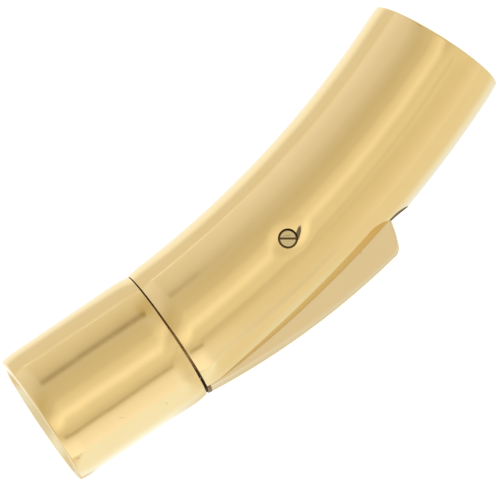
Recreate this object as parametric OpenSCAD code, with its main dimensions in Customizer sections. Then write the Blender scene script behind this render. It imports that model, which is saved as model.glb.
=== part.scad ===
// Lever clasp for a round cord: a short straight tube plugs into a long bent one,
// and a sprung rocker lever on the outside of the bend hooks the plug.
// The clasp lies on its side with the bend level, so the screw stands upright.

/* [Tubes] */
// Outer diameter of both tubes
tube_d = 8; // [7.8:0.1:8.4]
// Diameter of the round cord that each end takes
cord_d = 6; // [5:0.1:6.2]
// Depth of the cord bore in the short tube
short_bore = 7; // [5:0.1:7.2]
// Depth of the cord bore in the long tube
long_bore = 6; // [4:0.1:6.2]
// Length of the short tube, from its mouth to the joint
short_len = 8.5; // [8.4:0.1:12]
// Length of the long tube along its bent axis
long_len = 22.1; // [21.9:0.1:26]
// Radius of the bend, to the tube's axis
bend_r = 61; // [58:1:66]
// Angle of the bend's start to the short tube's axis
bend_lead = 2.7; // [2.2:0.1:3]
// Gap that shows where the tubes meet
joint_gap = 0.1; // [0.05:0.01:0.15]
// Width of the broken edge round each mouth
rim = 0.12; // [0.05:0.01:0.2]

/* [Latch] */
// Diameter of the plug on the short tube
plug_d = 5.5; // [5.3:0.1:5.6]
// Length of the plug past the joint
plug_len = 5.6; // [5.2:0.1:5.8]
// Room round the plug in its socket
plug_play = 0.07; // [0.05:0.01:0.1]
// Depth of the catch notch in the plug
notch_depth = 0.7; // [0.6:0.05:0.8]
// Width of the slot that the lever moves in
slot_w = 2.8; // [2.7:0.1:3.2]
// Distance from the joint to the slot's round end
slot_end = 15; // [14.9:0.1:15.2]

/* [Lever] */
// Room between the lever and each wall of the slot
lever_play = 0.06; // [0.05:0.01:0.1]
// Radius of the lever's bowed outer face
lever_bow_r = 44.5; // [43:0.5:46]
// Angle that the lever stands out from the short tube's axis at the joint
lever_out = 6.3; // [6.1:0.1:6.5]
// Distance from the joint to the lever's finger end
lever_len = 13.6; // [13.4:0.1:13.6]
// Radius of the finger end's outer corner
lever_corner = 0.45; // [0.3:0.05:0.6]

/* [Pivot screw] */
// Distance from the joint to the screw
screw_x = 8.1; // [8:0.1:8.3]
// Distance of the screw from the tube's axis, towards the lever
screw_drop = 0.5; // [0.4:0.05:0.6]
// Diameter of the screw
screw_d = 1; // [0.9:0.05:1.1]
// Room round the screw in the tube
screw_gap = 0.08; // [0.06:0.01:0.1]
// Room round the screw in the lever
pivot_gap = 0.05; // [0.03:0.01:0.08]
// Width of the driver slot in the screw's head
driver_w = 0.12; // [0.08:0.01:0.2]
// Depth of the driver slot
driver_depth = 0.2; // [0.1:0.05:0.3]
// Angle of the driver slot to the short tube's axis
driver_angle = -34; // [-90:1:90]

/* [Hidden] */
$fn = 96;

// Metal colour of every piece
gold = "#dcbc78";
// A cut runs this far past the face that it opens
over = 1;

tube_r = tube_d / 2;
lever_w = slot_w - 2 * lever_play;

// The bend turns round this point, and the joint is at [0, 0]
bend_c = [-bend_r * sin(bend_lead), bend_r * cos(bend_lead)];
bend_turn = long_len / bend_r * 180 / PI;
end_turn = bend_lead + bend_turn;
long_end = bend_c + bend_r * [sin(end_turn), -cos(end_turn)];

// Height of the bent axis over the short tube's axis, at a distance x past the joint
function axis_y(x) = bend_c.y - sqrt(bend_r ^ 2 - (x - bend_c.x) ^ 2);

screw = [screw_x, axis_y(screw_x) - screw_drop];
// The hub round the screw, and the floor of the slot above it
hub_r = screw_d / 2 + 0.55;
slot_floor = screw.y + hub_r + 0.12;
// The screw's flat ends stay just under the tube's skin
screw_half = tube_r - 0.1;

plug_r = plug_d / 2;
socket_r = plug_r + plug_play;
socket_depth = plug_len + 0.6;
plug_nose = 0.5;

// The catch: a tooth on the lever stands in a notch in the plug's underside
notch_top = -plug_r + notch_depth;
tooth_top = notch_top - 0.1;
tooth_x0 = 1.5;
tooth_x1 = 2.2;
tooth_x2 = 2.7;
notch_x0 = 1.2;
notch_x1 = tooth_x2 + 0.2;
// The catch faces lean so that the tooth swings out of the notch
catch_lean = 0.55;

// The lever's arm lies under the plug, in the slot of the tube's wall
arm_top = -plug_r - 0.2;
lever_x0 = 0.05;
// Its bowed outer face starts a little inside the tube's skin
face_start = -tube_r + 0.21;
face_c = [lever_bow_r * sin(lever_out), face_start + lever_bow_r * cos(lever_out)];
// The finger end leans back towards its outer corner, over this height
finger_base = -1.7;
finger_lean = 0.4;
finger_top = -0.7;
finger_back = lever_len - 0.25;
// Lowest point of the lever's outer face at a distance x past the joint
function face_y(x) = face_c.y - sqrt(lever_bow_r ^ 2 - (x - face_c.x) ^ 2);

// The clasp is centred over the origin and lies on the ground
box_x = [-short_len, long_end.x + (tube_r - rim) * sin(end_turn)];
box_y = [
    min(-tube_r, face_c.y - lever_bow_r),
    long_end.y - rim * sin(end_turn) + tube_r * cos(end_turn)
];
lift = [-(box_x[0] + box_x[1]) / 2, -(box_y[0] + box_y[1]) / 2, tube_r];

// A round bar along +X from x0 to x1, r wide
module bar_x(x0, x1, r) {
    translate([x0, 0, 0]) rotate([0, 90, 0]) cylinder(h = x1 - x0, r = r);
}

// A flat shape in the plane of the bend, w thick
module plate(w) {
    linear_extrude(height = w, center = true) children();
}

// The edge that is broken off round a mouth at the top of a bar along +Z
module broken_rim() {
    rotate_extrude()
        polygon([
            [tube_r - rim - over, over],
            [tube_r + over, -rim - over],
            [tube_r + over, over]
        ]);
}

// Places its children at the long tube's mouth, with +Z out of it
module at_long_mouth() {
    translate([long_end.x, long_end.y, 0])
        rotate([0, 0, end_turn])
            rotate([0, 90, 0])
                children();
}

// The long tube before any hole is cut in it
module bent_bar() {
    difference() {
        translate([bend_c.x, bend_c.y, 0])
            rotate_extrude(start = bend_lead - 91, angle = bend_turn + 1)
                translate([bend_r, 0])
                    circle(r = tube_r);
        translate([-tube_d, -tube_d, -tube_d])
            cube([tube_d, 2 * tube_d, 2 * tube_d]);
    }
}

// The slot that the lever moves in, open at the joint and round at its other end
module lever_slot() {
    round_x = slot_end - slot_w / 2;
    translate([-over, -tube_d, -slot_w / 2])
        cube([round_x + over, tube_d + slot_floor, slot_w]);
    translate([round_x, slot_floor, 0])
        rotate([90, 0, 0])
            cylinder(h = tube_d + slot_floor, d = slot_w);
}

module long_tube() {
    color(gold)
        translate(lift)
            difference() {
                bent_bar();
                bar_x(-over, socket_depth, socket_r);
                lever_slot();
                translate([screw.x, screw.y, -tube_r - over])
                    cylinder(h = tube_d + 2 * over, d = screw_d + 2 * screw_gap);
                at_long_mouth() {
                    translate([0, 0, -long_bore])
                        cylinder(h = long_bore + over, d = cord_d);
                    broken_rim();
                }
            }
}

// The notch across the plug's underside, with its catch face leaning outwards
module plug_notch() {
    depth = plug_r + over + notch_top;
    plate(plug_d + over)
        polygon([
            [notch_x0, notch_top],
            [notch_x1, notch_top],
            [notch_x1 + catch_lean * depth, notch_top - depth],
            [notch_x0, notch_top - depth]
        ]);
}

module short_tube() {
    color(gold)
        translate(lift)
            difference() {
                union() {
                    bar_x(-short_len, -joint_gap, tube_r);
                    bar_x(-joint_gap - over, plug_len - plug_nose, plug_r);
                    translate([plug_len - plug_nose, 0, 0])
                        rotate([0, 90, 0])
                            cylinder(h = plug_nose, r1 = plug_r, r2 = plug_r - plug_nose);
                }
                bar_x(-short_len - over, short_bore - short_len, cord_d / 2);
                translate([-short_len, 0, 0])
                    rotate([0, -90, 0])
                        broken_rim();
                plug_notch();
            }
}

// The lever's side view: an arm under the plug with a tooth, a hub, and a finger end
module lever_side() {
    corner_x = lever_len - finger_lean - lever_corner;
    corner = [corner_x, face_y(corner_x) + lever_corner];
    intersection() {
        translate(face_c) circle(r = lever_bow_r, $fn = 720);
        union() {
            polygon([
                [lever_x0, -tube_d],
                [lever_x0, arm_top],
                [tooth_x0, arm_top],
                [tooth_x1, tooth_top],
                [tooth_x2, tooth_top],
                [tooth_x2 + catch_lean * (tooth_top - arm_top), arm_top],
                [socket_depth + 0.1, arm_top],
                [socket_depth + 0.9, screw.y],
                [screw.x, screw.y + hub_r - 0.1],
                [finger_back, finger_top],
                [lever_len, finger_base],
                [lever_len - finger_lean, corner.y],
                [corner.x, corner.y],
                [corner.x, -tube_d]
            ]);
            translate(corner) circle(r = lever_corner);
            translate(screw) circle(r = hub_r);
        }
    }
}

module lever() {
    color(gold)
        translate(lift)
            difference() {
                plate(lever_w) lever_side();
                translate([screw.x, screw.y, -slot_w])
                    cylinder(h = 2 * slot_w, d = screw_d + 2 * pivot_gap);
            }
}

module pivot_screw() {
    color(gold)
        translate(lift + [screw.x, screw.y, 0])
            difference() {
                translate([0, 0, -screw_half])
                    cylinder(h = 2 * screw_half, d = screw_d);
                translate([0, 0, screw_half])
                    rotate([0, 0, driver_angle])
                        cube([2 * screw_d, driver_w, 2 * driver_depth], center = true);
            }
}

long_tube();
short_tube();
lever();
pivot_screw();
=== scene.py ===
"""Lever clasp for a round cord: polished gold tubes, their lever and its screw, on a white floor.

The pieces are modelled in millimetres from the joint, where the short tube's axis meets the
long tube, and brought into the frame at the end. +X runs along the short tube's axis into the
long tube, +Y to the inside of the bend and +Z up along the screw.
"""
import logging
import math
from collections.abc import Callable, Iterable, Mapping, Sequence
from dataclasses import dataclass
from enum import Enum
from functools import reduce

import bmesh
import bpy
from mathutils import Matrix, Vector


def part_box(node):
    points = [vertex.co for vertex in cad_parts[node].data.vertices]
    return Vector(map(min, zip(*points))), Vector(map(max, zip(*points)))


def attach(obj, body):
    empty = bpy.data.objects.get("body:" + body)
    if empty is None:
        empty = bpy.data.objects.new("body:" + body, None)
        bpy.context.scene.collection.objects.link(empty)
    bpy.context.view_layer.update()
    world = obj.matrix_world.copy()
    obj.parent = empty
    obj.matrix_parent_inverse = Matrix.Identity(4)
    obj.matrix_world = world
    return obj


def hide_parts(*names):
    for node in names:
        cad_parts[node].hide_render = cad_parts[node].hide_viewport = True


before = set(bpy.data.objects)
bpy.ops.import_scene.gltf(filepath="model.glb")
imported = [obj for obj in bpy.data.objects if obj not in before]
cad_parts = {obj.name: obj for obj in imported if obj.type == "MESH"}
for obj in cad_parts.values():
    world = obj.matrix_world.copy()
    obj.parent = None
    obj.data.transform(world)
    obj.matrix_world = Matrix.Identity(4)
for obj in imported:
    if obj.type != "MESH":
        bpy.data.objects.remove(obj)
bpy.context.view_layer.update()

MM = 0.001
# An edge that turns more than this stays crisp in the shading
CRISP_TURN = math.radians(32)
# A face whose normal points outwards by less than this is a wall, not skin
WALL_LEAN = 0.3
# Room round a limit when faces are told apart, in millimetres
ROOM = 0.01

log = logging.getLogger("clasp")

Point = tuple[float, float]
Colour = tuple[float, float, float]
Picker = Callable[[Vector, Vector], int]
Piece = bpy.types.Object
Socket = bpy.types.NodeSocket
Value = "float | Socket"


class Body(Enum):
    """The CAD bodies that a piece can ride on."""

    TUBES = "tubes"
    LEVER = "lever"


class Slot(Enum):
    """The record's material slots."""

    TUBE = "tube_gold"
    LEVER = "lever_gold"
    SCREW = "screw_gold"


@dataclass(frozen=True)
class Wiring:
    """Adds nodes to a node tree, so that a formula reads as a few short lines."""

    tree: bpy.types.NodeTree

    def node(self, kind: str, inputs: Mapping[str | int, object] | None = None,
             **settings: object) -> bpy.types.Node:
        """Adds a node.

        Args:
            kind: Blender's name of the node's type.
            inputs: What its inputs are linked or set to, by their names or numbers.
            settings: The node's own properties.

        Returns:
            The new node.
        """
        made = self.tree.nodes.new(kind)
        for name, value in settings.items():
            setattr(made, name, value)
        for key, value in (inputs or {}).items():
            self.feed(made.inputs[key], value)
        return made

    def feed(self, socket: Socket, value: Value) -> None:
        """Links a socket to another, or sets it to a constant.

        Args:
            socket: The input.
            value: An output to link to it, or its constant.
        """
        if isinstance(value, Socket):
            self.tree.links.new(value, socket)
        else:
            socket.default_value = value

    def math(self, operation: str, *values: Value) -> Socket:
        """Adds a Math node with these inputs, in order, and returns its result."""
        return self.node("ShaderNodeMath", dict(enumerate(values)), operation=operation).outputs[0]

    def times(self, *values: Value) -> Socket:
        """Multiplies numbers."""
        return reduce(lambda first, second: self.math("MULTIPLY", first, second), values)

    def square(self, value: Value) -> Socket:
        """Multiplies a number by itself."""
        return self.times(value, value)

    def over(self, value: Value, divisor: Value) -> Socket:
        """Divides a number by another."""
        return self.math("DIVIDE", value, divisor)

    def plus(self, value: Value, added: Value) -> Socket:
        """Adds two numbers."""
        return self.math("ADD", value, added)

    def minus(self, value: Value, taken: Value) -> Socket:
        """Takes a number from another."""
        return self.math("SUBTRACT", value, taken)

    def vector_math(self, operation: str, *values: object) -> Socket:
        """Adds a Vector Math node.

        Args:
            operation: The node's operation.
            values: Its inputs, in order.

        Returns:
            Its result, a number where the operation gives one.
        """
        keys = (0, "Scale") if operation == "SCALE" else (0, 1, 2)
        made = self.node("ShaderNodeVectorMath", dict(zip(keys, values)), operation=operation)
        return made.outputs["Value" if operation in ("DOT_PRODUCT", "LENGTH") else "Vector"]

    def fade(self, value: Value, start: float, end: float) -> Socket:
        """Gives 1 below the start and 0 past the end, with a smooth step between them."""
        limits = {"Value": value, "From Min": start, "From Max": end, "To Min": 1.0, "To Max": 0.0}
        return self.node("ShaderNodeMapRange", limits, interpolation_type="SMOOTHSTEP").outputs[0]

    def vector(self, x: Value, y: Value, z: Value) -> Socket:
        """Joins three numbers into a vector and returns it."""
        return self.node("ShaderNodeCombineXYZ", {0: x, 1: y, 2: z}).outputs[0]

    def split(self, vector: Value) -> tuple[Socket, ...]:
        """Splits a vector into its three numbers."""
        return tuple(self.node("ShaderNodeSeparateXYZ", {0: vector}).outputs)

    def noise(self, place: Value, size: float, detail: float) -> Socket:
        """Adds a noise whose features are size millimetres across, and returns its value."""
        inputs = {"Vector": place, "Scale": 1 / (size * MM), "Detail": detail}
        return self.node("ShaderNodeTexNoise", inputs).outputs[0]

    def mix(self, share: Value, first: object, second: object) -> Socket:
        """Mixes two colours.

        Args:
            share: The second colour's share.
            first: The first colour, as a constant or a socket.
            second: The second colour.

        Returns:
            The mixed colour.
        """
        made = self.node("ShaderNodeMix", {"Factor": share}, data_type="RGBA")
        for name, colour in (("A", first), ("B", second)):
            socket = next(s for s in made.inputs if s.name == name and s.type == "RGBA")
            self.feed(socket, (*colour, 1.0) if isinstance(colour, tuple) else colour)
        return next(s for s in made.outputs if s.type == "RGBA")


@dataclass(frozen=True)
class Seat:
    """The place of the joint's centre in the frame, in metres."""

    joint: Vector

    @classmethod
    def of_short_tube(cls, length: float) -> "Seat":
        """Finds the joint from the short tube's box.

        Args:
            length: Length of the short tube, from its mouth to the joint, in millimetres.

        Returns:
            The seat.
        """
        low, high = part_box("short_tube")
        middle = (Vector(low) + Vector(high)) / 2
        return cls(Vector((low[0] + length * MM, middle.y, middle.z)))

    def matrix(self) -> Matrix:
        """Brings millimetres from the joint into the frame."""
        return Matrix.Translation(self.joint) @ Matrix.Scale(MM, 4)

    def point(self, x: float, y: float, z: float) -> Vector:
        """Brings one point, in millimetres from the joint, into the frame."""
        return self.matrix() @ Vector((x, y, z))


@dataclass(frozen=True)
class Workshop:
    """Makes solids in millimetres from the joint and finishes them as pieces."""

    seat: Seat

    def solid(self, name: str, mesh: bpy.types.Mesh) -> Piece:
        """Puts a mesh in the scene as an object at the origin.

        Args:
            name: The object's name.
            mesh: Its mesh.

        Returns:
            The object.
        """
        made = bpy.data.objects.new(name, mesh)
        bpy.context.scene.collection.objects.link(made)
        return made

    def from_bmesh(self, name: str, shape: bmesh.types.BMesh) -> Piece:
        """Closes a bmesh, turns its faces outwards and puts it in the scene.

        Args:
            name: The object's name.
            shape: The bmesh, which is freed.

        Returns:
            The object.
        """
        bmesh.ops.remove_doubles(shape, verts=shape.verts, dist=1e-6)
        bmesh.ops.recalc_face_normals(shape, faces=shape.faces)
        mesh = bpy.data.meshes.new(name)
        shape.to_mesh(mesh)
        shape.free()
        return self.solid(name, mesh)

    def turned(self, name: str, profile: Sequence[Point], sides: int, place: Matrix) -> Piece:
        """Makes a solid of revolution about the X axis.

        Args:
            name: The object's name.
            profile: Distances along the axis and from it. The first and last lie on the axis.
            sides: Number of sides around.
            place: Where the solid goes.

        Returns:
            The object.
        """
        shape = bmesh.new()
        rings: list[list[bmesh.types.BMVert]] = []
        for along, out in profile:
            if out == 0:
                rings.append([shape.verts.new(place @ Vector((along, 0, 0)))])
                continue
            turns = (2 * math.pi * k / sides for k in range(sides))
            rings.append([
                shape.verts.new(place @ Vector((along, out * math.cos(turn), out * math.sin(turn))))
                for turn in turns
            ])
        for near, far in zip(rings, rings[1:]):
            for k in range(sides):
                corners = [near[k % len(near)], near[(k + 1) % len(near)]]
                corners += [far[(k + 1) % len(far)], far[k % len(far)]]
                shape.faces.new(list(dict.fromkeys(corners)))
        return self.from_bmesh(name, shape)

    def plate(self, name: str, outline: Sequence[Point], low: float, high: float,
              place: Matrix = Matrix.Identity(4)) -> Piece:
        """Makes a flat plate from an outline in the XY plane.

        Args:
            name: The object's name.
            outline: The outline's corners.
            low: Height of its lower face.
            high: Height of its upper face.
            place: Where the plate goes.

        Returns:
            The object.
        """
        return self.layered(name, [(low, outline), (high, outline)], place)

    def layered(self, name: str, layers: Sequence[tuple[float, Sequence[Point]]],
                place: Matrix = Matrix.Identity(4)) -> Piece:
        """Joins outlines that lie over each other into a solid.

        Args:
            name: The object's name.
            layers: The height and the outline of each layer. All outlines have as many corners.
            place: Where the solid goes.

        Returns:
            The object.
        """
        shape = bmesh.new()
        rings = [
            [shape.verts.new(place @ Vector((x, y, height))) for x, y in outline]
            for height, outline in layers
        ]
        shape.faces.new(rings[0])
        shape.faces.new(rings[-1])
        for lower, upper in zip(rings, rings[1:]):
            for k in range(len(lower)):
                after = (k + 1) % len(lower)
                shape.faces.new([lower[k], lower[after], upper[after], upper[k]])
        return self.from_bmesh(name, shape)

    def settle(self, piece: Piece) -> None:
        """Replaces a piece's mesh by what its modifiers make, and removes them.

        Args:
            piece: The piece.
        """
        graph = bpy.context.evaluated_depsgraph_get()
        mesh = bpy.data.meshes.new_from_object(piece.evaluated_get(graph))
        piece.modifiers.clear()
        piece.data = mesh

    def cut(self, piece: Piece, tools: Iterable[Piece]) -> None:
        """Cuts solids out of a piece and deletes them.

        Args:
            piece: The piece that changes.
            tools: The other solids.
        """
        tools = list(tools)
        for tool in tools:
            step = piece.modifiers.new(tool.name, "BOOLEAN")
            step.operation = "DIFFERENCE"
            step.solver = "EXACT"
            step.object = tool
        self.settle(piece)
        for tool in tools:
            bpy.data.objects.remove(tool)

    def break_edges(self, piece: Piece, width: float, segments: int) -> None:
        """Rounds a piece's crisp edges.

        Args:
            piece: The piece.
            width: Width of the rounding.
            segments: Number of faces across it.
        """
        step = piece.modifiers.new("broken edges", "BEVEL")
        step.width = width
        step.segments = segments
        step.limit_method = "ANGLE"
        step.angle_limit = CRISP_TURN
        step.use_clamp_overlap = False
        self.settle(piece)

    def even_shading(self, piece: Piece) -> None:
        """Makes a piece's large flat faces shade flat, and leaves the turn to the small ones.

        Args:
            piece: The piece.
        """
        piece.data.shade_smooth()
        piece.data.set_sharp_from_angle(angle=CRISP_TURN)
        step = piece.modifiers.new("even shading", "WEIGHTED_NORMAL")
        step.mode = "FACE_AREA"
        step.weight = 100
        step.keep_sharp = True
        self.settle(piece)

    def dress(self, piece: Piece, finishes: Sequence["Finish"], pick: Picker) -> None:
        """Gives a piece its finishes.

        Args:
            piece: The piece, in millimetres from the joint.
            finishes: Its finishes.
            pick: Gives the number of a face's finish from its centre and its normal.
        """
        mesh = piece.data
        mesh.materials.clear()
        for finish in finishes:
            mesh.materials.append(finish.material())
        for face in mesh.polygons:
            face.material_index = pick(face.center, face.normal)

    def hand_over(self, piece: Piece, body: Body, slot: Slot, node: str) -> None:
        """Brings a piece into the frame and says what it stands for.

        Args:
            piece: The piece, in millimetres from the joint.
            body: The CAD body that it rides on.
            slot: The record's slot for its finish. Not used.
            node: The CAD node that it replaces.
        """
        mesh = piece.data
        mesh.transform(self.seat.matrix())
        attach(piece, body.value)
        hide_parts(node)
        faces = sum(len(face.vertices) - 2 for face in mesh.polygons)
        log.info("%s: %d triangles, on %s", piece.name, faces, body.value)


def arc(centre: Point, radius: float, start: float, end: float, steps: int) -> list[Point]:
    """Lists points along an arc.

    Args:
        centre: The arc's centre.
        radius: Its radius.
        start: Angle of its first point, in degrees from +X.
        end: Angle of its last point.
        steps: Number of steps between them.

    Returns:
        The points.
    """
    turns = (math.radians(start + (end - start) * k / steps) for k in range(steps + 1))
    return [(centre[0] + radius * math.cos(turn), centre[1] + radius * math.sin(turn)) for turn in turns]


@dataclass(frozen=True)
class EasedEnd:
    """How polishing wears a tube's end: a slow fall of its skin, and then a rounded edge."""

    depth: float = 0.09
    length: float = 1.0
    mouth_edge: float = 0.12
    joint_edge: float = 0.03

    def drop(self, from_mouth: float, from_joint: float) -> float:
        """Says how far the skin lies under the tube's full radius.

        Args:
            from_mouth: Distance from the tube's mouth.
            from_joint: Distance from the joint's gap.

        Returns:
            The depth.
        """
        distance = min(from_mouth, from_joint)
        edge = self.mouth_edge if from_mouth < from_joint else self.joint_edge
        fall = self.depth * max(0.0, 1 - distance / self.length) ** 2
        inside = max(0.0, edge - distance)
        return fall + edge - math.sqrt(max(0.0, edge ** 2 - inside ** 2))


@dataclass(frozen=True)
class Dish:
    """The shallow hollow that polishing leaves round the screw, on both sides of the tube."""

    x: float
    y: float
    radius: float = 1.45
    depth: float = 0.09
    outer_stretch: float = 0.68


@dataclass(frozen=True)
class BentBarTree:
    """Geometry nodes for a bar along an arc, with worn ends and its first end cut square to +X."""

    wiring: Wiring
    given: bpy.types.NodeOutputs

    FLOATS = (
        "Length", "Bend Radius", "Lead", "Bar Radius", "Ease Depth", "Ease Length", "Mouth Share",
        "Joint Edge", "Mouth Edge", "Square Turn", "Square Fade", "Dish X", "Dish Y", "Dish Radius",
        "Dish Depth", "Dish Stretch",
    )
    COUNTS = ("Rings", "Sides")

    @classmethod
    def build(cls) -> bpy.types.NodeTree:
        """Builds the tree.

        Returns:
            The tree.
        """
        tree = bpy.data.node_groups.new("bent bar", "GeometryNodeTree")
        kinds = dict.fromkeys(cls.FLOATS, "Float") | dict.fromkeys(cls.COUNTS, "Int")
        for name, kind in (*kinds.items(), ("Finish", "Material")):
            tree.interface.new_socket(name=name, in_out="INPUT", socket_type="NodeSocket" + kind)
        tree.interface.new_socket(name="Geometry", in_out="OUTPUT", socket_type="NodeSocketGeometry")
        wiring = Wiring(tree)
        given = wiring.node("NodeGroupInput").outputs
        bar = cls(wiring, given)
        along = bar.spacing()
        mesh, kept_along = bar.sweep(bar.path(along), along)
        dished = bar.dish(bar.square_end(mesh, kept_along))
        real = wiring.node("GeometryNodeRealizeInstances", {"Geometry": dished}).outputs["Geometry"]
        dressed = wiring.node("GeometryNodeSetMaterial", {"Geometry": real, "Material": given["Finish"]})
        wiring.node("NodeGroupOutput", {"Geometry": dressed.outputs["Geometry"]})
        return tree

    def spacing(self) -> Socket:
        """Spaces the bar's points, closer at both ends.

        Returns:
            Each point's distance along the bar.
        """
        wiring, given = self.wiring, self.given
        index = wiring.node("GeometryNodeInputIndex").outputs[0]
        share = wiring.over(index, wiring.minus(given["Rings"], 1.0))
        wave = wiring.math("COSINE", wiring.times(share, math.pi))
        return wiring.times(wiring.minus(1.0, wave), 0.5, given["Length"])

    def turn(self, along: Value) -> Socket:
        """Gives the bend's angle at a distance along the bar."""
        return self.wiring.plus(self.given["Lead"], self.wiring.over(along, self.given["Bend Radius"]))

    def centre(self) -> tuple[Value, Value]:
        """Finds the bend's centre.

        Returns:
            Its X and its Y.
        """
        wiring, given = self.wiring, self.given
        back = wiring.times(given["Bend Radius"], wiring.math("SINE", given["Lead"]))
        up = wiring.times(given["Bend Radius"], wiring.math("COSINE", given["Lead"]))
        return wiring.times(back, -1.0), up

    def left(self, distance: Value, length: Value) -> Socket:
        """Gives the share of a length that a distance leaves over, and 0 past its end."""
        share = self.wiring.over(distance, length)
        return self.wiring.math("MAXIMUM", self.wiring.minus(1.0, share), 0.0)

    def move(self, bar: Value, offset: Value) -> Socket:
        """Moves the bar's vertices by an offset and returns the changed mesh."""
        moved = self.wiring.node("GeometryNodeSetPosition", {"Geometry": bar, "Offset": offset})
        return moved.outputs["Geometry"]

    def path(self, along: Value) -> Socket:
        """Lays a line of points along the bend.

        Args:
            along: Distance along the bar at each of the points.

        Returns:
            The curve.
        """
        wiring, given = self.wiring, self.given
        line = wiring.node("GeometryNodeCurvePrimitiveLine").outputs["Curve"]
        points = wiring.node("GeometryNodeResampleCurve", {"Curve": line, "Count": given["Rings"]})
        turn = self.turn(along)
        centre_x, centre_y = self.centre()
        x = wiring.math("MULTIPLY_ADD", wiring.math("SINE", turn), given["Bend Radius"], centre_x)
        reach = wiring.times(wiring.math("COSINE", turn), given["Bend Radius"])
        place = wiring.vector(x, wiring.minus(centre_y, reach), 0.0)
        inputs = {"Geometry": points.outputs["Curve"], "Position": place}
        return wiring.node("GeometryNodeSetPosition", inputs).outputs["Geometry"]

    def sweep(self, path: Value, along: Value) -> tuple[Socket, Socket]:
        """Sweeps a circle along the path.

        Args:
            path: The curve.
            along: Distance along the bar at each of its points.

        Returns:
            The bar's mesh, and the distance along the bar at each of its vertices.
        """
        wiring, given = self.wiring, self.given
        from_end = wiring.math("MINIMUM", along, wiring.minus(given["Length"], along))
        fall = wiring.times(given["Ease Depth"], wiring.square(self.left(from_end, given["Ease Length"])))
        at_mouth = wiring.math("GREATER_THAN", along, wiring.times(given["Length"], 0.5))
        spared = wiring.times(at_mouth, wiring.minus(1.0, given["Mouth Share"]))
        fall = wiring.times(fall, wiring.minus(1.0, spared))
        wider = wiring.minus(given["Mouth Edge"], given["Joint Edge"])
        edge = wiring.math("MULTIPLY_ADD", at_mouth, wider, given["Joint Edge"])
        inside = wiring.math("MAXIMUM", wiring.minus(edge, from_end), 0.0)
        rest = wiring.math("MAXIMUM", wiring.minus(wiring.square(edge), wiring.square(inside)), 0.0)
        rounding = wiring.minus(edge, wiring.math("SQRT", rest))
        radius = wiring.minus(given["Bar Radius"], wiring.plus(fall, rounding))
        kept = wiring.node("GeometryNodeCaptureAttribute", {"Geometry": path})
        kept.capture_items.new("FLOAT", "along")
        wiring.feed(kept.inputs["along"], along)
        inputs = {"Curve": kept.outputs["Geometry"], "Radius": radius}
        sized = wiring.node("GeometryNodeSetCurveRadius", inputs)
        ring = wiring.node("GeometryNodeCurvePrimitiveCircle", {"Resolution": given["Sides"], "Radius": 1.0})
        mesh = wiring.node("GeometryNodeCurveToMesh", {
            "Curve": sized.outputs["Curve"],
            "Profile Curve": ring.outputs["Curve"],
            "Fill Caps": True,
        })
        if "Scale" in mesh.inputs:
            wiring.feed(mesh.inputs["Scale"], wiring.node("GeometryNodeInputRadius").outputs[0])
        return mesh.outputs["Mesh"], kept.outputs["along"]

    def square_end(self, bar: Value, along: Value) -> Socket:
        """Slides the rings near the joint along the bar, until the first one is square to +X.

        Args:
            bar: The bar's mesh.
            along: Distance along the bar at each of its vertices.

        Returns:
            The changed mesh.
        """
        wiring, given = self.wiring, self.given
        x, y, _ = wiring.split(wiring.node("GeometryNodeInputPosition").outputs[0])
        centre_x, centre_y = self.centre()
        away_x, away_y = wiring.minus(x, centre_x), wiring.minus(y, centre_y)
        distance = wiring.math("SQRT", wiring.plus(wiring.square(away_x), wiring.square(away_y)))
        inward = wiring.minus(given["Bend Radius"], distance)
        share = wiring.square(self.left(along, given["Square Fade"]))
        slide = wiring.times(inward, wiring.math("TANGENT", given["Square Turn"]), share)
        turn = self.turn(along)
        slide_x, slide_y = (wiring.times(wiring.math(part, turn), slide) for part in ("COSINE", "SINE"))
        return self.move(bar, wiring.vector(slide_x, slide_y, 0.0))

    def dish(self, bar: Value) -> Socket:
        """Hollows the bar slightly round the screw, above and below.

        Args:
            bar: The bar's mesh.

        Returns:
            The changed mesh.
        """
        wiring, given = self.wiring, self.given
        x, y, z = wiring.split(wiring.node("GeometryNodeInputPosition").outputs[0])
        across = wiring.minus(y, given["Dish Y"])
        shorter = wiring.math("MINIMUM", across, wiring.over(across, given["Dish Stretch"]))
        away = wiring.vector(wiring.minus(x, given["Dish X"]), shorter, 0.0)
        share = wiring.over(wiring.vector_math("LENGTH", away), given["Dish Radius"])
        bowl = wiring.math("MAXIMUM", wiring.minus(1.0, wiring.square(share)), 0.0)
        depth = wiring.times(given["Dish Depth"], wiring.square(bowl))
        drop = wiring.times(depth, wiring.math("SIGN", z), -1.0)
        return self.move(bar, wiring.vector(0.0, 0.0, drop))


@dataclass(frozen=True)
class Mark:
    """A mark on a piece: a soft ellipsoid that takes its finish's mark colour.

    Its place and sizes are in millimetres from the joint, and its turn is in degrees from +X. Its
    reach is half its size upwards.
    """

    x: float
    y: float
    length: float
    width: float
    turn: float
    strength: float = 1.0
    height: float = 4.0
    reach: float = 2.0


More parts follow.
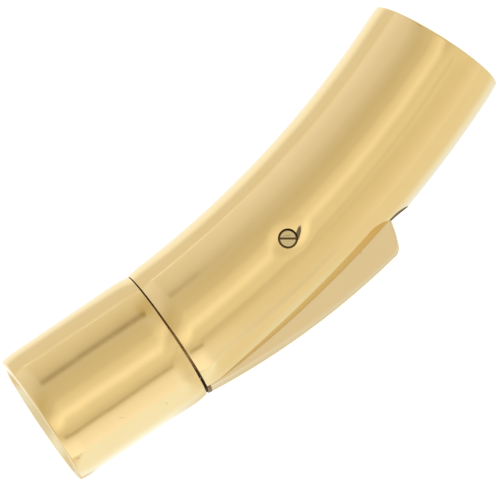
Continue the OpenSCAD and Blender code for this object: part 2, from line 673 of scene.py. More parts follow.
@dataclass(frozen=True)
class Finish:
    """Gold plating: its colour, how sharply it mirrors, its waviness and its marks."""

    name: str
    seat: Seat
    colour: Colour = (0.965, 0.735, 0.375)
    worn_colour: Colour = (0.935, 0.70, 0.345)
    mark_colour: Colour = (0.13, 0.10, 0.06)
    mark_roughness: float = 0.3
    mark_edge: Point = (0.7, 1.1)
    roughness: Point = (0.06, 0.11)
    specular: float = 0.1
    wave_size: float = 3.0
    wave_height: float = 0.02
    grain_size: float = 0.15
    grain_height: float = 0.00012
    patch_size: float = 2.1
    patch_detail: float = 3.0
    smear_size: float = 0.6
    smear_detail: float = 4.0
    smear_range: Point = (0.35, 0.65)
    metallic: float = 1.0
    marks: tuple[Mark, ...] = ()

    def material(self) -> bpy.types.Material:
        """Builds the finish's material.

        Returns:
            The material.
        """
        material = bpy.data.materials.new(self.name)
        material.use_nodes = True
        material.node_tree.nodes.clear()
        wiring = Wiring(material.node_tree)
        place = wiring.node("ShaderNodeTexCoord").outputs["Object"]
        patches = wiring.noise(place, self.patch_size, self.patch_detail)
        smears = wiring.noise(place, self.smear_size, self.smear_detail)
        tone = wiring.mix(patches, self.colour, self.worn_colour)
        rough = wiring.node("ShaderNodeMapRange", {
            "Value": smears,
            "From Min": self.smear_range[0],
            "From Max": self.smear_range[1],
            "To Min": self.roughness[0],
            "To Max": self.roughness[1],
        }).outputs[0]
        marked = self.marked(wiring, place)
        if marked is not None:
            tone = wiring.mix(marked, tone, self.mark_colour)
            rough = wiring.math("MULTIPLY_ADD", marked, self.mark_roughness, rough)
        inputs = {"Base Color": tone, "Roughness": rough, "Normal": self.relief(wiring, place)}
        shader = wiring.node("ShaderNodeBsdfPrincipled", inputs)
        shader.inputs["Metallic"].default_value = self.metallic
        shader.inputs["Specular IOR Level"].default_value = self.specular
        wiring.node("ShaderNodeOutputMaterial", {"Surface": shader.outputs[0]})
        return material

    def relief(self, wiring: Wiring, place: Value) -> Socket:
        """Adds the waves that hand polishing leaves and a fine grain.

        Args:
            wiring: The material's wiring.
            place: The place on the piece.

        Returns:
            The normal.
        """
        normal = None
        for size, height in ((self.wave_size, self.wave_height), (self.grain_size, self.grain_height)):
            inputs = {"Height": wiring.noise(place, size, 1.0), "Distance": height * MM}
            bump = wiring.node("ShaderNodeBump", inputs)
            if normal is not None:
                wiring.feed(bump.inputs["Normal"], normal)
            normal = bump.outputs[0]
        return normal

    def marked(self, wiring: Wiring, place: Value) -> Socket | None:
        """Tells the finish's marks from the rest.

        Args:
            wiring: The material's wiring.
            place: The place on the piece.

        Returns:
            1 inside the marks and 0 outside them, or nothing if the finish has none.
        """
        total = None
        for mark in self.marks:
            shift = wiring.node("ShaderNodeMapping", {
                "Vector": place,
                "Location": tuple(self.seat.point(mark.x, mark.y, mark.height)),
                "Rotation": (0.0, 0.0, math.radians(mark.turn)),
                "Scale": (mark.length / 2 * MM, mark.width / 2 * MM, mark.reach * MM),
            }, vector_type="TEXTURE")
            spread = wiring.vector_math("LENGTH", shift.outputs[0])
            inside = wiring.times(wiring.fade(spread, *self.mark_edge), mark.strength)
            total = inside if total is None else wiring.math("MAXIMUM", total, inside)
        return total


@dataclass
class Screw:
    """The pivot screw, upright through the long tube and the lever."""

    shop: Workshop
    finish: Finish
    inner_finish: Finish
    x: float = 8.1
    y: float = 0.427
    radius: float = 0.5
    head_radius: float = 0.44
    head_height: float = 0.25
    half_length: float = 3.88
    edge: float = 0.03
    edge_steps: int = 4
    driver_width: float = 0.12
    driver_depth: float = 0.2
    driver_turn: float = -34.0
    sides: int = 96

    def build(self) -> Piece:
        """Makes the screw.

        Returns:
            The screw.
        """
        top = self.half_length
        inner = self.head_radius - self.edge
        shoulder = top - self.head_height
        rounding = [(top - self.edge + y, x) for x, y in arc((inner, 0), self.edge, 0, 90, self.edge_steps)]
        upper = [(shoulder, self.radius), (shoulder, self.head_radius), *rounding, (top, 0.0)]
        lower = [(-along, out) for along, out in reversed(upper)]
        place = Matrix.Translation((self.x, self.y, 0))
        upright = place @ Matrix.Rotation(-math.pi / 2, 4, "Y")
        screw = self.shop.turned("screw", [*lower, *upper], self.sides, upright)
        half = self.driver_width / 2
        reach = 2 * self.radius
        slot = [(-reach, -half), (reach, -half), (reach, half), (-reach, half)]
        turned = place @ Matrix.Rotation(math.radians(self.driver_turn), 4, "Z")
        cutter = self.shop.plate("driver", slot, top - self.driver_depth, top + 1, turned)
        self.shop.cut(screw, [cutter])
        return screw

    def dress(self, screw: Piece) -> None:
        """Gives the screw its finishes and its place on the tubes.

        Args:
            screw: The screw.
        """
        slot_top = self.half_length - self.edge / 2

        def pick(centre: Vector, normal: Vector) -> int:
            """Gives the driver slot and the sides the inner finish, a dark painted shade."""
            in_driver = 0 < centre.z < slot_top and normal.z < WALL_LEAN
            return int(in_driver or abs(centre.z) < slot_top - self.edge)

        self.shop.even_shading(screw)
        self.shop.dress(screw, [self.finish, self.inner_finish], pick)
        self.shop.hand_over(screw, Body.TUBES, Slot.SCREW, "pivot_screw")


@dataclass
class Lever:
    """The sprung plate in the slot: an arm with a tooth, a hub and a finger end."""

    shop: Workshop
    finish: Finish
    inner_finish: Finish
    screw: Screw
    width: float = 2.68
    near_end: float = 0.03
    length: float = 13.6
    bow_radius: float = 44.5
    bow_x: float = 4.883
    bow_y: float = 40.47
    crown: float = 0.15
    # Painted shade: the outer face's end by the joint takes the dark finish over this length
    shaded_length: float = 0.22
    shaded_lean: float = 0.1
    crown_steps: int = 10
    corner: float = 0.45
    corner_start: float = -86.0
    corner_steps: int = 14
    finger_base: float = -1.7
    finger_lean: float = 0.4
    finger_bulge: float = 0.05
    bulge_steps: int = 6
    finger_top: Point = (0.25, -0.7)
    arm_top: float = -2.95
    tooth_start: float = 1.5
    tooth_flat: Point = (2.2, 2.7)
    tooth_top: float = -2.15
    tooth_lean: float = 0.55
    hub_radius: float = 1.05
    hub_turn: Point = (65.0, 205.0)
    hub_steps: int = 32
    hole_radius: float = 0.55
    hole_steps: int = 64
    hub_foot: float = 6.3
    edge: float = 0.10
    edge_steps: int = 5
    bow_steps: int = 120

    def face_height(self, x: float) -> float:
        """Gives the height of the bowed outer face at a distance past the joint."""
        return self.bow_y - math.sqrt(self.bow_radius ** 2 - (x - self.bow_x) ** 2)

    def outline(self, swell: float) -> list[Point]:
        """Lists the corners of the lever's side view, against the clock.

        Args:
            swell: How far the outer face and the tip stand out from their places at the lever's edges.

        Returns:
            The corners.
        """
        corner_x = self.length - self.finger_lean - self.corner
        corner_y = self.face_height(corner_x) + self.corner
        spread = corner_x - self.near_end
        steps = range(self.bow_steps + 1)
        places = (self.near_end + spread * k / self.bow_steps for k in steps)
        bow = [(x, self.face_height(x) - swell) for x in places]
        lean = math.degrees(math.atan2(self.finger_lean, self.finger_base - corner_y))
        tip = arc((corner_x, corner_y), self.corner + swell, self.corner_start, -lean, self.corner_steps)
        foot = Vector(tip[-1])
        back = Vector((self.length + swell, self.finger_base))
        out = Vector((back.y - foot.y, foot.x - back.x)).normalized() * self.finger_bulge
        shares = (k / self.bulge_steps for k in range(1, self.bulge_steps))
        bulge = [tuple(foot.lerp(back, s) + out * 4 * s * (1 - s)) for s in shares]
        hub = arc((self.screw.x, self.screw.y), self.hub_radius, *self.hub_turn, self.hub_steps)
        catch = self.tooth_flat[1] + self.tooth_lean * (self.tooth_top - self.arm_top)
        return [
            *bow, *tip, *bulge,
            (self.length + swell, self.finger_base),
            (self.length - self.finger_top[0], self.finger_top[1]),
            *hub,
            (self.hub_foot, self.arm_top),
            (catch, self.arm_top),
            (self.tooth_flat[1], self.tooth_top),
            (self.tooth_flat[0], self.tooth_top),
            (self.tooth_start, self.arm_top),
            (self.near_end, self.arm_top),
        ]

    def build(self) -> Piece:
        """Makes the lever.

        Returns:
            The lever.
        """
        half = self.width / 2
        shares = (2 * k / self.crown_steps - 1 for k in range(self.crown_steps + 1))
        layers = [(half * s, self.outline(self.crown * (1 - s * s))) for s in shares]
        lever = self.shop.layered("lever_plate", layers)
        self.shop.break_edges(lever, self.edge, self.edge_steps)
        ring = arc((self.screw.x, self.screw.y), self.hole_radius, 0, 360, self.hole_steps)[:-1]
        self.shop.cut(lever, [self.shop.plate("hole", ring, -self.width, self.width)])
        return lever

    def dress(self, lever: Piece) -> None:
        """Gives the lever its finishes and its place on its own body.

        Args:
            lever: The lever.
        """
        shaded_end = self.near_end + self.shaded_length

        def pick(centre: Vector, normal: Vector) -> int:
            """Paints shade at the joint's end of the outer face, where the gap to the short tube is dark."""
            return int(centre.x < shaded_end and normal.y < self.shaded_lean)

        self.shop.even_shading(lever)
        self.shop.dress(lever, [self.finish, self.inner_finish], pick)
        self.shop.hand_over(lever, Body.LEVER, Slot.LEVER, "lever")


@dataclass
class ShortTube:
    """The turned short tube with its plug."""

    shop: Workshop
    finish: Finish
    inner_finish: Finish
    lip_finish: Finish
    end: EasedEnd
    length: float = 8.5
    gap: float = 0.11
    radius: float = 4.0
    bore_radius: float = 3.0
    bore_depth: float = 7.0
    bore_edge: float = 0.35
    plug_radius: float = 2.75
    plug_length: float = 5.6
    plug_nose: float = 0.5
    notch: Point = (1.2, 2.9)
    notch_top: float = -2.05
    notch_lean: float = 0.55
    sides: int = 224
    skin_steps: int = 120

    def skin(self) -> list[Point]:
        """Lists the points of the tube's skin.

        Returns:
            The points, from the mouth to the joint.
        """
        start, end = -self.length, -self.gap
        points = []
        for k in range(self.skin_steps + 1):
            along = start + (end - start) * (1 - math.cos(math.pi * k / self.skin_steps)) / 2
            points.append((along, self.radius - self.end.drop(along - start, end - along)))
        return points

    def build(self) -> Piece:
        """Makes the short tube with its plug.

        Returns:
            The tube.
        """
        mouth = -self.length
        profile = [
            (mouth + self.bore_depth, 0.0),
            (mouth + self.bore_depth, self.bore_radius),
            (mouth + self.bore_edge, self.bore_radius),
            (mouth, self.bore_radius + self.bore_edge),
            *self.skin(),
            (-self.gap, self.plug_radius),
            (self.plug_length - self.plug_nose, self.plug_radius),
            (self.plug_length, self.plug_radius - self.plug_nose),
            (self.plug_length, 0.0),
        ]
        tube = self.shop.turned("short_sleeve", profile, self.sides, Matrix.Identity(4))
        bottom = -self.plug_radius - 1
        lean = self.notch_lean * (self.notch_top - bottom)
        side = [
            (self.notch[0], self.notch_top),
            (self.notch[0], bottom),
            (self.notch[1] + lean, bottom),
            (self.notch[1], self.notch_top),
        ]
        self.shop.cut(tube, [self.shop.plate("notch", side, -self.radius, self.radius)])
        return tube

    def dress(self, tube: Piece) -> None:
        """Gives the tube its finishes and its place on the tubes' body.

        Args:
            tube: The tube.
        """
        skin = self.radius - self.end.depth - self.end.mouth_edge - ROOM
        lip = self.bore_edge + ROOM - self.length

        def pick(centre: Vector, normal: Vector) -> int:
            """Tells the skin, the lip, and the faces of the bore, the plug and the joint apart.

            Args:
                centre: The face's centre.
                normal: Its normal.

            Returns:
                The number of its finish.
            """
            out = math.hypot(centre.y, centre.z)
            side = normal.y * centre.y + normal.z * centre.z
            if centre.x < lip:
                return 2 if side < 0 else 0
            return int(out < skin or side < WALL_LEAN * out)

        self.shop.dress(tube, [self.finish, self.inner_finish, self.lip_finish], pick)
        self.shop.hand_over(tube, Body.TUBES, Slot.TUBE, "short_tube")


@dataclass
class LongTube:
    """The bent long tube, with its socket, slot, screw hole and cord bore."""

    shop: Workshop
    finish: Finish
    inner_finish: Finish
    slot_shade_finish: Finish
    reflection_finish: Finish
    lip_finish: Finish
    end: EasedEnd
    screw: Screw
    length: float = 22.1
    radius: float = 4.0
    bend_radius: float = 61.0
    bend_lead: float = 2.7
    socket_radius: float = 2.82
    socket_depth: float = 6.2
    slot_width: float = 2.8
    slot_end: float = 15.0
    slot_floor: float = 1.597
    screw_hole: float = 0.55
    bore_radius: float = 3.0
    bore_depth: float = 6.0
    bore_edge: float = 0.35
    rings: int = 200
    sides: int = 224
    square_fade: float = 4.0
    mouth_wear: float = 0.5
    joint_opening: float = 0.8
    # Reach of the painted reflection band on the outer skin by the slot
    reflection_height: float = 2.9
    reflection_end: float = 17.0
    inner_depth: float = 0.08
    skin_start: float = 0.05
    dish_shift: Point = (0.1, -0.12)
    slot_steps: int = 48
    hole_steps: int = 96

    def end_turn(self) -> float:
        """Gives the angle of the bend at the far mouth, in radians."""
        return math.radians(self.bend_lead) + self.length / self.bend_radius

    def mouth(self) -> Matrix:
        """Finds the far mouth's centre.

        Returns:
            Its place, with +X out of the mouth.
        """
        lead, end = math.radians(self.bend_lead), self.end_turn()
        x = self.bend_radius * (math.sin(end) - math.sin(lead))
        y = self.bend_radius * (math.cos(lead) - math.cos(end))
        return Matrix.Translation((x, y, 0)) @ Matrix.Rotation(end, 4, "Z")

    def bar(self) -> Piece:
        """Runs the bent bar's nodes.

        Returns:
            The plain bar.
        """
        tree = BentBarTree.build()
        dish = Dish(self.screw.x + self.dish_shift[0], self.screw.y + self.dish_shift[1])
        values = {
            "Length": self.length,
            "Bend Radius": self.bend_radius,
            "Lead": math.radians(self.bend_lead),
            "Bar Radius": self.radius,
            "Ease Depth": self.end.depth,
            "Ease Length": self.end.length,
            "Mouth Share": self.mouth_wear,
            "Joint Edge": self.end.joint_edge,
            "Mouth Edge": self.end.mouth_edge,
            "Square Turn": math.radians(self.bend_lead - self.joint_opening),
            "Square Fade": self.square_fade,
            "Dish X": dish.x,
            "Dish Y": dish.y,
            "Dish Radius": dish.radius,
            "Dish Depth": dish.depth,
            "Dish Stretch": dish.outer_stretch,
            "Rings": self.rings,
            "Sides": self.sides,
        }
        bar = self.shop.solid("long_sleeve", bpy.data.meshes.new("long_sleeve"))
        step = bar.modifiers.new("bent bar", "NODES")
        step.node_group = tree
        for socket in tree.interface.items_tree:
            if socket.name in values:
                step[socket.identifier] = values[socket.name]
        self.shop.settle(bar)
        shape = bmesh.new()
        shape.from_mesh(bar.data)
        bmesh.ops.recalc_face_normals(shape, faces=shape.faces)
        shape.to_mesh(bar.data)
        shape.free()
        return bar

    def cutters(self) -> list[Piece]:
        """Makes the solids that the tube's openings are cut with.

        Returns:
            The solids.
        """
        beyond = 1.0
        socket = [
            (-beyond, 0.0),
            (-beyond, self.socket_radius),
            (self.socket_depth, self.socket_radius),
            (self.socket_depth, 0.0),
        ]
        bore = [
            (-self.bore_depth, 0.0),
            (-self.bore_depth, self.bore_radius),
            (-self.bore_edge, self.bore_radius),
            (beyond, self.bore_radius + self.bore_edge + beyond),
            (beyond, 0.0),
        ]
        half = self.slot_width / 2
        round_end = arc((self.slot_end - half, 0), half, -90, 90, self.slot_steps)
        slot = [(-beyond, half), (-beyond, -half), *round_end]
        sideways = Matrix.Rotation(-math.pi / 2, 4, "X")
        hole = arc((self.screw.x, self.screw.y), self.screw_hole, 0, 360, self.hole_steps)[:-1]
        outside = self.radius + beyond
        return [
            self.shop.turned("socket", socket, self.sides, Matrix.Identity(4)),
            self.shop.turned("bore", bore, self.sides, self.mouth()),
            self.shop.plate("slot", slot, -outside, self.slot_floor, sideways),
            self.shop.plate("screw hole", hole, -outside, outside),
        ]

    def build(self) -> Piece:
        """Makes the long tube.

        Returns:
            The tube.
        """
        tube = self.bar()
        self.shop.cut(tube, self.cutters())
        return tube

    def dress(self, tube: Piece) -> None:
        """Gives the tube its finishes and its place on the tubes' body.

        Args:
            tube: The tube.
        """
        lead = math.radians(self.bend_lead)
        centre_x, centre_y = -self.bend_radius * math.sin(lead), self.bend_radius * math.cos(lead)
        skin = self.radius - self.end.depth - self.end.mouth_edge - ROOM
        mouth = self.mouth().inverted()

        def pick(centre: Vector, normal: Vector) -> int:
            """Tells the slot (painted shade), the skin by it (painted reflection), the other inner faces and
            the mouth's edge apart.

            Args:
                centre: The face's centre.
                normal: Its normal.

            Returns:
                The number of its finish.
            """
            away = Vector((centre.x - centre_x, centre.y - centre_y, 0))
            middle = away.normalized() * self.bend_radius
            out = Vector((away.x - middle.x, away.y - middle.y, centre.z))
            in_mouth = (mouth @ centre).x > -self.bore_edge - ROOM
            is_wall = normal.dot(out) < WALL_LEAN * out.length
            inner = not in_mouth and (out.length < skin - self.inner_depth or is_wall)
            outer = away.length > self.bend_radius and centre.x > self.skin_start
            if inner:
                # Painted shade on the slot's walls, through their own finish.
                in_slot = centre.x < self.slot_end and abs(centre.z) < self.slot_width / 2 + ROOM
                return 2 if outer and in_slot else 1
            if (mouth @ centre).x > -self.end.mouth_edge:
                return 4
            # Painted reflection on the outer skin by the slot, through its own finish.
            return 3 if outer and centre.x < self.reflection_end and abs(centre.z) < self.reflection_height else 0

        finishes = [self.finish, self.inner_finish, self.slot_shade_finish, self.reflection_finish, self.lip_finish]
        self.shop.dress(tube, finishes, pick)
        self.shop.hand_over(tube, Body.TUBES, Slot.TUBE, "long_tube")


@dataclass(frozen=True)
class SkyPanel:
    """A soft-edged panel of light, or a dark flag, far away in the studio's sky.

    It stands at an azimuth from +X and an elevation, and is turned about its own middle. Each
    width gives where it starts to fade and where it has faded. All are in degrees. A dark flag
    has negative light.
    """

    name: str
    azimuth: float
    elevation: float
    turn: float
    sideways: Point
    upwards: Point
    light: Colour

    def axes(self) -> tuple[Vector, Vector, Vector]:
        """Finds the panel's directions.

        Returns:
            Those to its middle, along its side and along its height.
        """
        azimuth, elevation, turn = (math.radians(a) for a in (self.azimuth, self.elevation, self.turn))
        middle = Vector((
            math.cos(azimuth) * math.cos(elevation),
            math.sin(azimuth) * math.cos(elevation),
            math.sin(elevation),
        ))
        level = Vector((-math.sin(azimuth), math.cos(azimuth), 0))
        steep = middle.cross(level)
        side = level * math.cos(turn) + steep * math.sin(turn)
        return middle, side, middle.cross(side)

    def shine(self, wiring: Wiring, towards: Value) -> Socket:
        """Adds the panel to the sky.

        Args:
            wiring: The sky's wiring.
            towards: The direction looked at.

        Returns:
            The panel's light in that direction.
        """
        middle, side, rise = self.axes()
        share = wiring.math("GREATER_THAN", wiring.vector_math("DOT_PRODUCT", towards, middle), 0.0)
        for axis, (start, end) in ((side, self.sideways), (rise, self.upwards)):
            off = wiring.math("ABSOLUTE", wiring.vector_math("DOT_PRODUCT", towards, axis))
            edge = wiring.fade(off, math.sin(math.radians(start)), math.sin(math.radians(end)))
            share = wiring.times(share, edge)
        return wiring.vector_math("SCALE", self.light, share)


@dataclass(frozen=True)
class Sky:
    """The studio's soft light: a pale tent, brighter low down, with panels and flags in it."""

    overhead: Colour = (0.69, 0.65, 0.52)
    low_gain: Colour = (0.12, 0.14, 0.21)
    low_from: float = -6.0
    low_to: float = 38.5
    panels: tuple[SkyPanel, ...] = (
        SkyPanel("strip", -56.0, 77.8, 17.0, (15.0, 45.0), (0.0, 11.0), (0.25, 0.26, 0.27)),
        SkyPanel("shelf", -70.0, 62.0, -25.0, (40.0, 70.0), (4.0, 24.0), (0.13, 0.14, 0.14)),
        SkyPanel("side_wall", -113.0, 13.0, 5.0, (20.0, 40.0), (8.0, 36.0), (0.32, 0.36, 0.46)),
        SkyPanel("outer_flag", -92.0, 40.0, -5.0, (7.0, 9.0), (0.0, 6.0), (-0.22, -0.24, -0.26)),
        SkyPanel("strip_edge", -107.0, 85.3, -112.0, (15.0, 45.0), (0.0, 8.0), (0.12, 0.12, 0.11)),
        SkyPanel("outer_line", -67.0, 51.0, 25.0, (9.0, 17.0), (0.0, 4.5), (-0.06, -0.06, -0.06)),
        SkyPanel("outer_wall", -58.0, 18.0, 0.0, (8.0, 26.0), (14.0, 28.0), (0.085, 0.08, 0.065)),
        SkyPanel("inner_flag", 80.0, 43.5, 0.0, (3.5, 6.5), (0.0, 9.0), (-0.21, -0.23, -0.25)),
        SkyPanel("inner_soft", 80.0, 38.0, 0.0, (3.5, 7.5), (0.0, 14.0), (-0.05, -0.05, -0.05)),
        SkyPanel("joint_shade", -77.0, 3.0, 0.0, (3.5, 7.5), (3.0, 14.0), (-0.07, -0.06, -0.05)),
        SkyPanel("inner_shade", 114.0, 63.0, 30.0, (57.0, 74.0), (2.0, 19.0), (-0.09, -0.11, -0.16)),
        SkyPanel("far_wall", 123.0, 25.0, 0.0, (27.0, 37.0), (25.0, 55.0), (0.07, 0.10, 0.20)),
    )

    def build(self) -> None:
        """Makes the sky the scene's world."""
        world = bpy.data.worlds.new("studio")
        world.use_nodes = True
        wiring = Wiring(world.node_tree)
        backdrop = world.node_tree.nodes["Background"]
        towards = wiring.node("ShaderNodeTexCoord").outputs["Generated"]
        rise = wiring.split(towards)[2]
        low, high = (math.sin(math.radians(a)) for a in (self.low_from, self.low_to))
        total = wiring.vector_math("SCALE", self.low_gain, wiring.fade(rise, low, high))
        total = wiring.vector_math("ADD", total, self.overhead)
        for panel in self.panels:
            total = wiring.vector_math("ADD", total, panel.shine(wiring, towards))
        wiring.feed(backdrop.inputs["Color"], total)
        backdrop.inputs["Strength"].default_value = 1.0
        bpy.context.scene.world = world


@dataclass(frozen=True)
class WhiteFloor:
    """A white floor that shows overexposed, and that the metal mirrors as a softer white.

    It mirrors warm, with light and shade painted on it: a painted glow, white in front of the short
    tube and close to the clasp, a painted shade, darker in the lever's shade, and a tan painted
    shade under the lower part of the short tube's mouth. The clasp's line is nearly a wide circle's
    arc, so closeness is the distance from that circle. Inside the bend the close part gets wider
    with x. Sizes are in millimetres.
    """

    half: float = 2000.0
    colour: Colour = (0.8, 0.8, 0.8)
    roughness: float = 0.9
    shown_glow: float = 0.8
    mirrored: Colour = (0.79, 0.78, 0.74)
    inner_gain: Colour = (0.24, 0.30, 0.36)
    inner_reach: Point = (10.0, 14.0)
    inner_edge: Point = (0.7, 1.3)
    inner_from: float = -10.7
    inner_slope: float = 0.5
    outer_shift: Colour = (0.06, 0.05, -0.02)
    outer_gain: Colour = (0.06, 0.16, 0.34)
    outer_reach: Point = (5.5, 11.5)
    front_gain: Colour = (0.13, 0.23, 0.42)
    front_edge: Point = (-11.0, -5.0)
    front_start: Point = (16.0, 22.0)
    front_lean: float = 0.15
    shade: Colour = (-0.09, -0.15, -0.27)
    shade_reach: Point = (4.5, 10.0)
    shade_middle: float = -0.5
    shade_half: Point = (7.0, 9.5)
    mouth_painted_shade: Colour = (0.84, 0.76, 0.60)
    mouth_middle: Point = (-16.6, 2.5)
    mouth_along: Point = (1.2, 2.5)
    mouth_across: Point = (3.0, 5.0)
    arc_centre: Point = (-7.0, 74.0)
    arc_radius: float = 76.3

    def light(self, wiring: Wiring) -> Socket:
        """Gives the light that the metal mirrors from each place on the floor.

        Args:
            wiring: The wiring of the floor's material.

        Returns:
            The light.
        """
        place = wiring.node("ShaderNodeTexCoord").outputs["Object"]
        place = wiring.vector_math("SCALE", place, 1 / MM)
        x = wiring.split(place)[0]
        centre = Vector((*self.arc_centre, 0))
        away = wiring.vector_math("LENGTH", wiring.vector_math("SUBTRACT", place, centre))
        outwards = wiring.minus(away, self.arc_radius)
        outside = wiring.math("GREATER_THAN", outwards, 0.0)
        inside = wiring.minus(1.0, outside)
        # Painted light: glows close to the clasp inside and outside the bend and in front of the short tube;
        # painted shade by the lever's foot.
        narrow, wide = self.inner_reach
        start = narrow - self.inner_from * self.inner_slope
        widening = wiring.math("MULTIPLY_ADD", x, self.inner_slope, start)
        reach = wiring.math("MINIMUM", wiring.math("MAXIMUM", widening, narrow), wide)
        inner = wiring.fade(wiring.over(wiring.times(outwards, -1.0), reach), *self.inner_edge)
        leaning = wiring.math("MULTIPLY_ADD", outwards, -self.front_lean, x)
        beside = wiring.math("ABSOLUTE", wiring.minus(x, self.shade_middle))
        by_lever = wiring.fade(beside, *self.shade_half)
        shaded = wiring.times(by_lever, wiring.fade(outwards, *self.shade_reach))
        glow = wiring.times(wiring.fade(outwards, *self.outer_reach), wiring.minus(1.0, shaded))
        started = wiring.fade(wiring.times(x, -1.0), *self.front_start)
        front = wiring.times(wiring.fade(leaning, *self.front_edge), started)
        shift = wiring.vector_math("SCALE", self.outer_shift, outside)
        total = wiring.vector_math("ADD", self.mirrored, shift)
        for gain, side, share in (
            (self.inner_gain, inside, inner),
            (self.outer_gain, outside, glow),
            (self.front_gain, outside, front),
            (self.shade, outside, shaded),
        ):
            lit = wiring.vector_math("SCALE", gain, wiring.times(side, share))
            total = wiring.vector_math("ADD", total, lit)
        # Painted shade: the floor under the short tube's mouth is pulled towards a tan.
        mouth_x, mouth_out = self.mouth_middle
        from_mouth = wiring.math("ABSOLUTE", wiring.minus(x, mouth_x))
        aside = wiring.math("ABSOLUTE", wiring.minus(outwards, mouth_out))
        along_mouth = wiring.fade(from_mouth, *self.mouth_along)
        by_mouth = wiring.times(along_mouth, wiring.fade(aside, *self.mouth_across))
        missing = wiring.vector_math("SUBTRACT", self.mouth_painted_shade, total)
        return wiring.vector_math("ADD", total, wiring.vector_math("SCALE", missing, by_mouth))

    def material(self) -> bpy.types.Material:
        """Builds the floor's material.

        Returns:
            The material.
        """
        material = bpy.data.materials.new("white_floor")
        material.use_nodes = True
        wiring = Wiring(material.node_tree)
        shown = material.node_tree.nodes["Principled BSDF"]
        shown.inputs["Base Color"].default_value = (*self.colour, 1)
        shown.inputs["Roughness"].default_value = self.roughness
        shown.inputs["Specular IOR Level"].default_value = 0.0
        shown.inputs["Emission Color"].default_value = (1, 1, 1, 1)
        shown.inputs["Emission Strength"].default_value = self.shown_glow
        mirrored = wiring.node("ShaderNodeEmission", {"Color": self.light(wiring)})
        to_camera = wiring.node("ShaderNodeLightPath").outputs["Is Camera Ray"]
        shaders = {0: to_camera, 1: mirrored.outputs[0], 2: shown.outputs[0]}
        either = wiring.node("ShaderNodeMixShader", shaders)
        wiring.feed(material.node_tree.nodes["Material Output"].inputs["Surface"], either.outputs[0])
        return material

    def build(self) -> None:
        """Lays the floor."""
        side = self.half * MM
        mesh = bpy.data.meshes.new("floor")
        corners = [(-side, -side, 0), (side, -side, 0), (side, side, 0), (-side, side, 0)]
        mesh.from_pydata(corners, [], [(0, 1, 2, 3)])
        mesh.materials.append(self.material())
        floor = bpy.data.objects.new("floor", mesh)
        bpy.context.scene.collection.objects.link(floor)


@dataclass(frozen=True)
class Camera:
    """The camera at the photo's angle.

    It leans from straight overhead against the short tube's axis and towards the outside of
    the bend, and is rolled, all in degrees. The frame's origin, at the tubes' middle height,
    shows at a pixel of the photo. Sizes are in millimetres.
    """

    distance: float = 400.0
    pixels_per_mm: float = 18.09
    image_pixels: int = 500
    lean_along: float = 5.23
    lean_across: float = 4.2
    roll: float = 34.13
    centre_pixel: Point = (253.3, 227.9)
    centre_height: float = 4.0
    sensor_width: float = 36.0
    clip: Point = (10.0, 20000.0)

    def build(self) -> None:
        """Sets the camera up so that the clasp lies in the image as in the photo."""
        angles = (self.lean_along, self.lean_across, self.roll)
        lean_along, lean_across, roll = (math.radians(angle) for angle in angles)
        back = Vector((-math.sin(lean_along), -math.sin(lean_across), 0))
        back.z = math.sqrt(1 - back.length_squared)
        right = Vector((math.cos(roll), -math.sin(roll), 0))
        right = (right - back * right.dot(back)).normalized()
        up = back.cross(right)
        middle = self.image_pixels / 2
        aside = (self.centre_pixel[0] - middle) / self.pixels_per_mm
        above = (middle - self.centre_pixel[1]) / self.pixels_per_mm
        spot = Vector((0, 0, self.centre_height)) - right * aside - up * above + back * self.distance
        data = bpy.data.cameras.new("camera")
        data.sensor_width = self.sensor_width
        data.lens = data.sensor_width * self.distance * self.pixels_per_mm / self.image_pixels
        data.clip_start, data.clip_end = (limit * MM for limit in self.clip)
        camera = bpy.data.objects.new("camera", data)
        bpy.context.scene.collection.objects.link(camera)
        turn = Matrix((right, up, back)).transposed().to_4x4()
        camera.matrix_world = Matrix.Translation(spot * MM) @ turn
        bpy.context.scene.camera = camera


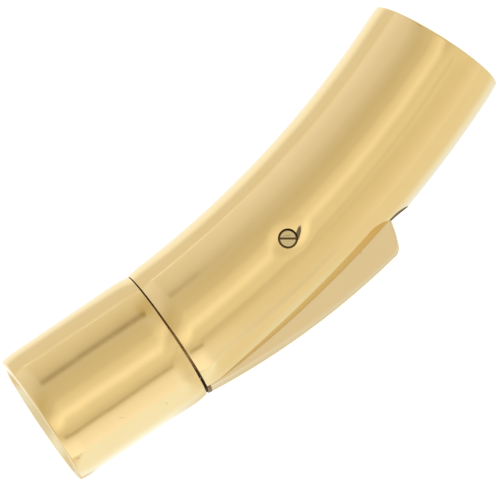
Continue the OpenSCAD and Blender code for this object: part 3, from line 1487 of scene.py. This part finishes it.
def main() -> None:
    """Sets up the studio and builds and dresses the clasp, piece by piece."""
    logging.basicConfig(level=logging.INFO, format="%(name)s: %(message)s")
    for part in (Camera(), WhiteFloor(), Sky()):
        part.build()
    bpy.context.scene.view_settings.view_transform = "Standard"
    seat = Seat.of_short_tube(ShortTube.length)
    shop = Workshop(seat)
    end = EasedEnd()
    polished = Finish("polished_gold", seat, marks=(
        Mark(8.72, 0.33, 1.0, 0.28, 42.0, 0.92),
        Mark(-4.91, -2.56, 0.5, 0.04, -34.0, 0.22, 2.9),
        Mark(-2.40, -3.23, 0.25, 0.04, -75.0, 0.28, 2.3),
        Mark(-8.11, -3.02, 0.25, 0.06, -10.0, 0.36, 2.5),
    ))
    raw = Finish("raw_inner_gold", seat, (0.74, 0.54, 0.27), (0.62, 0.44, 0.20), roughness=(0.2, 0.3))
    # Painted shade: the slot's walls get a dull matte tan instead of mirroring gold, standing in for the
    # shade inside the slot.
    slot_shade = Finish("slot_painted_shade", seat, (0.60, 0.52, 0.36), (0.50, 0.43, 0.29), roughness=(0.6, 0.8),
                   metallic=0.0)
    # Painted reflection: a soft, lighter and greener band on the outer skin by the slot, standing in for
    # what that skin mirrors there.
    slot_side_reflection = Finish("painted_reflection_gold", seat, mark_colour=(0.94, 0.80, 0.48), mark_roughness=0.05,
                  marks=(Mark(7.5, -2.8, 17.0, 2.6, 8.8, 1.0, 0.0, 2.6),))
    lip = Finish("lip_gold", seat, (0.93, 0.76, 0.46), (0.86, 0.69, 0.41), roughness=(0.16, 0.26))
    lever_gold = Finish("lever_gold", seat, (0.895, 0.715, 0.45), (0.87, 0.69, 0.425),
                        roughness=(0.08, 0.14), marks=(Mark(11.25, -2.19, 0.4, 0.06, 80.0, 0.5, 1.34),))
    satin = Finish("satin_gold", seat, (0.80, 0.66, 0.38), (0.70, 0.56, 0.31), roughness=(0.3, 0.42),
                   marks=(Mark(8.17, 0.58, 0.5, 0.05, -25.0, 0.5),))
    # Painted shade: a dark brown for the screw's driver slot, for the shaft seen in the ring round the
    # screw, and for the lever's end by the joint.
    shade_dark = Finish("painted_shade_dark", seat, (0.30, 0.20, 0.09), (0.22, 0.14, 0.06), roughness=(0.4, 0.6))
    screw = Screw(shop, satin, shade_dark)
    parts = (
        ShortTube(shop, polished, raw, lip, end),
        LongTube(shop, polished, raw, slot_shade, slot_side_reflection, lip, end, screw),
        Lever(shop, lever_gold, shade_dark, screw),
        screw,
    )
    for part in parts:
        part.dress(part.build())


if __name__ == "__main__":
    main()
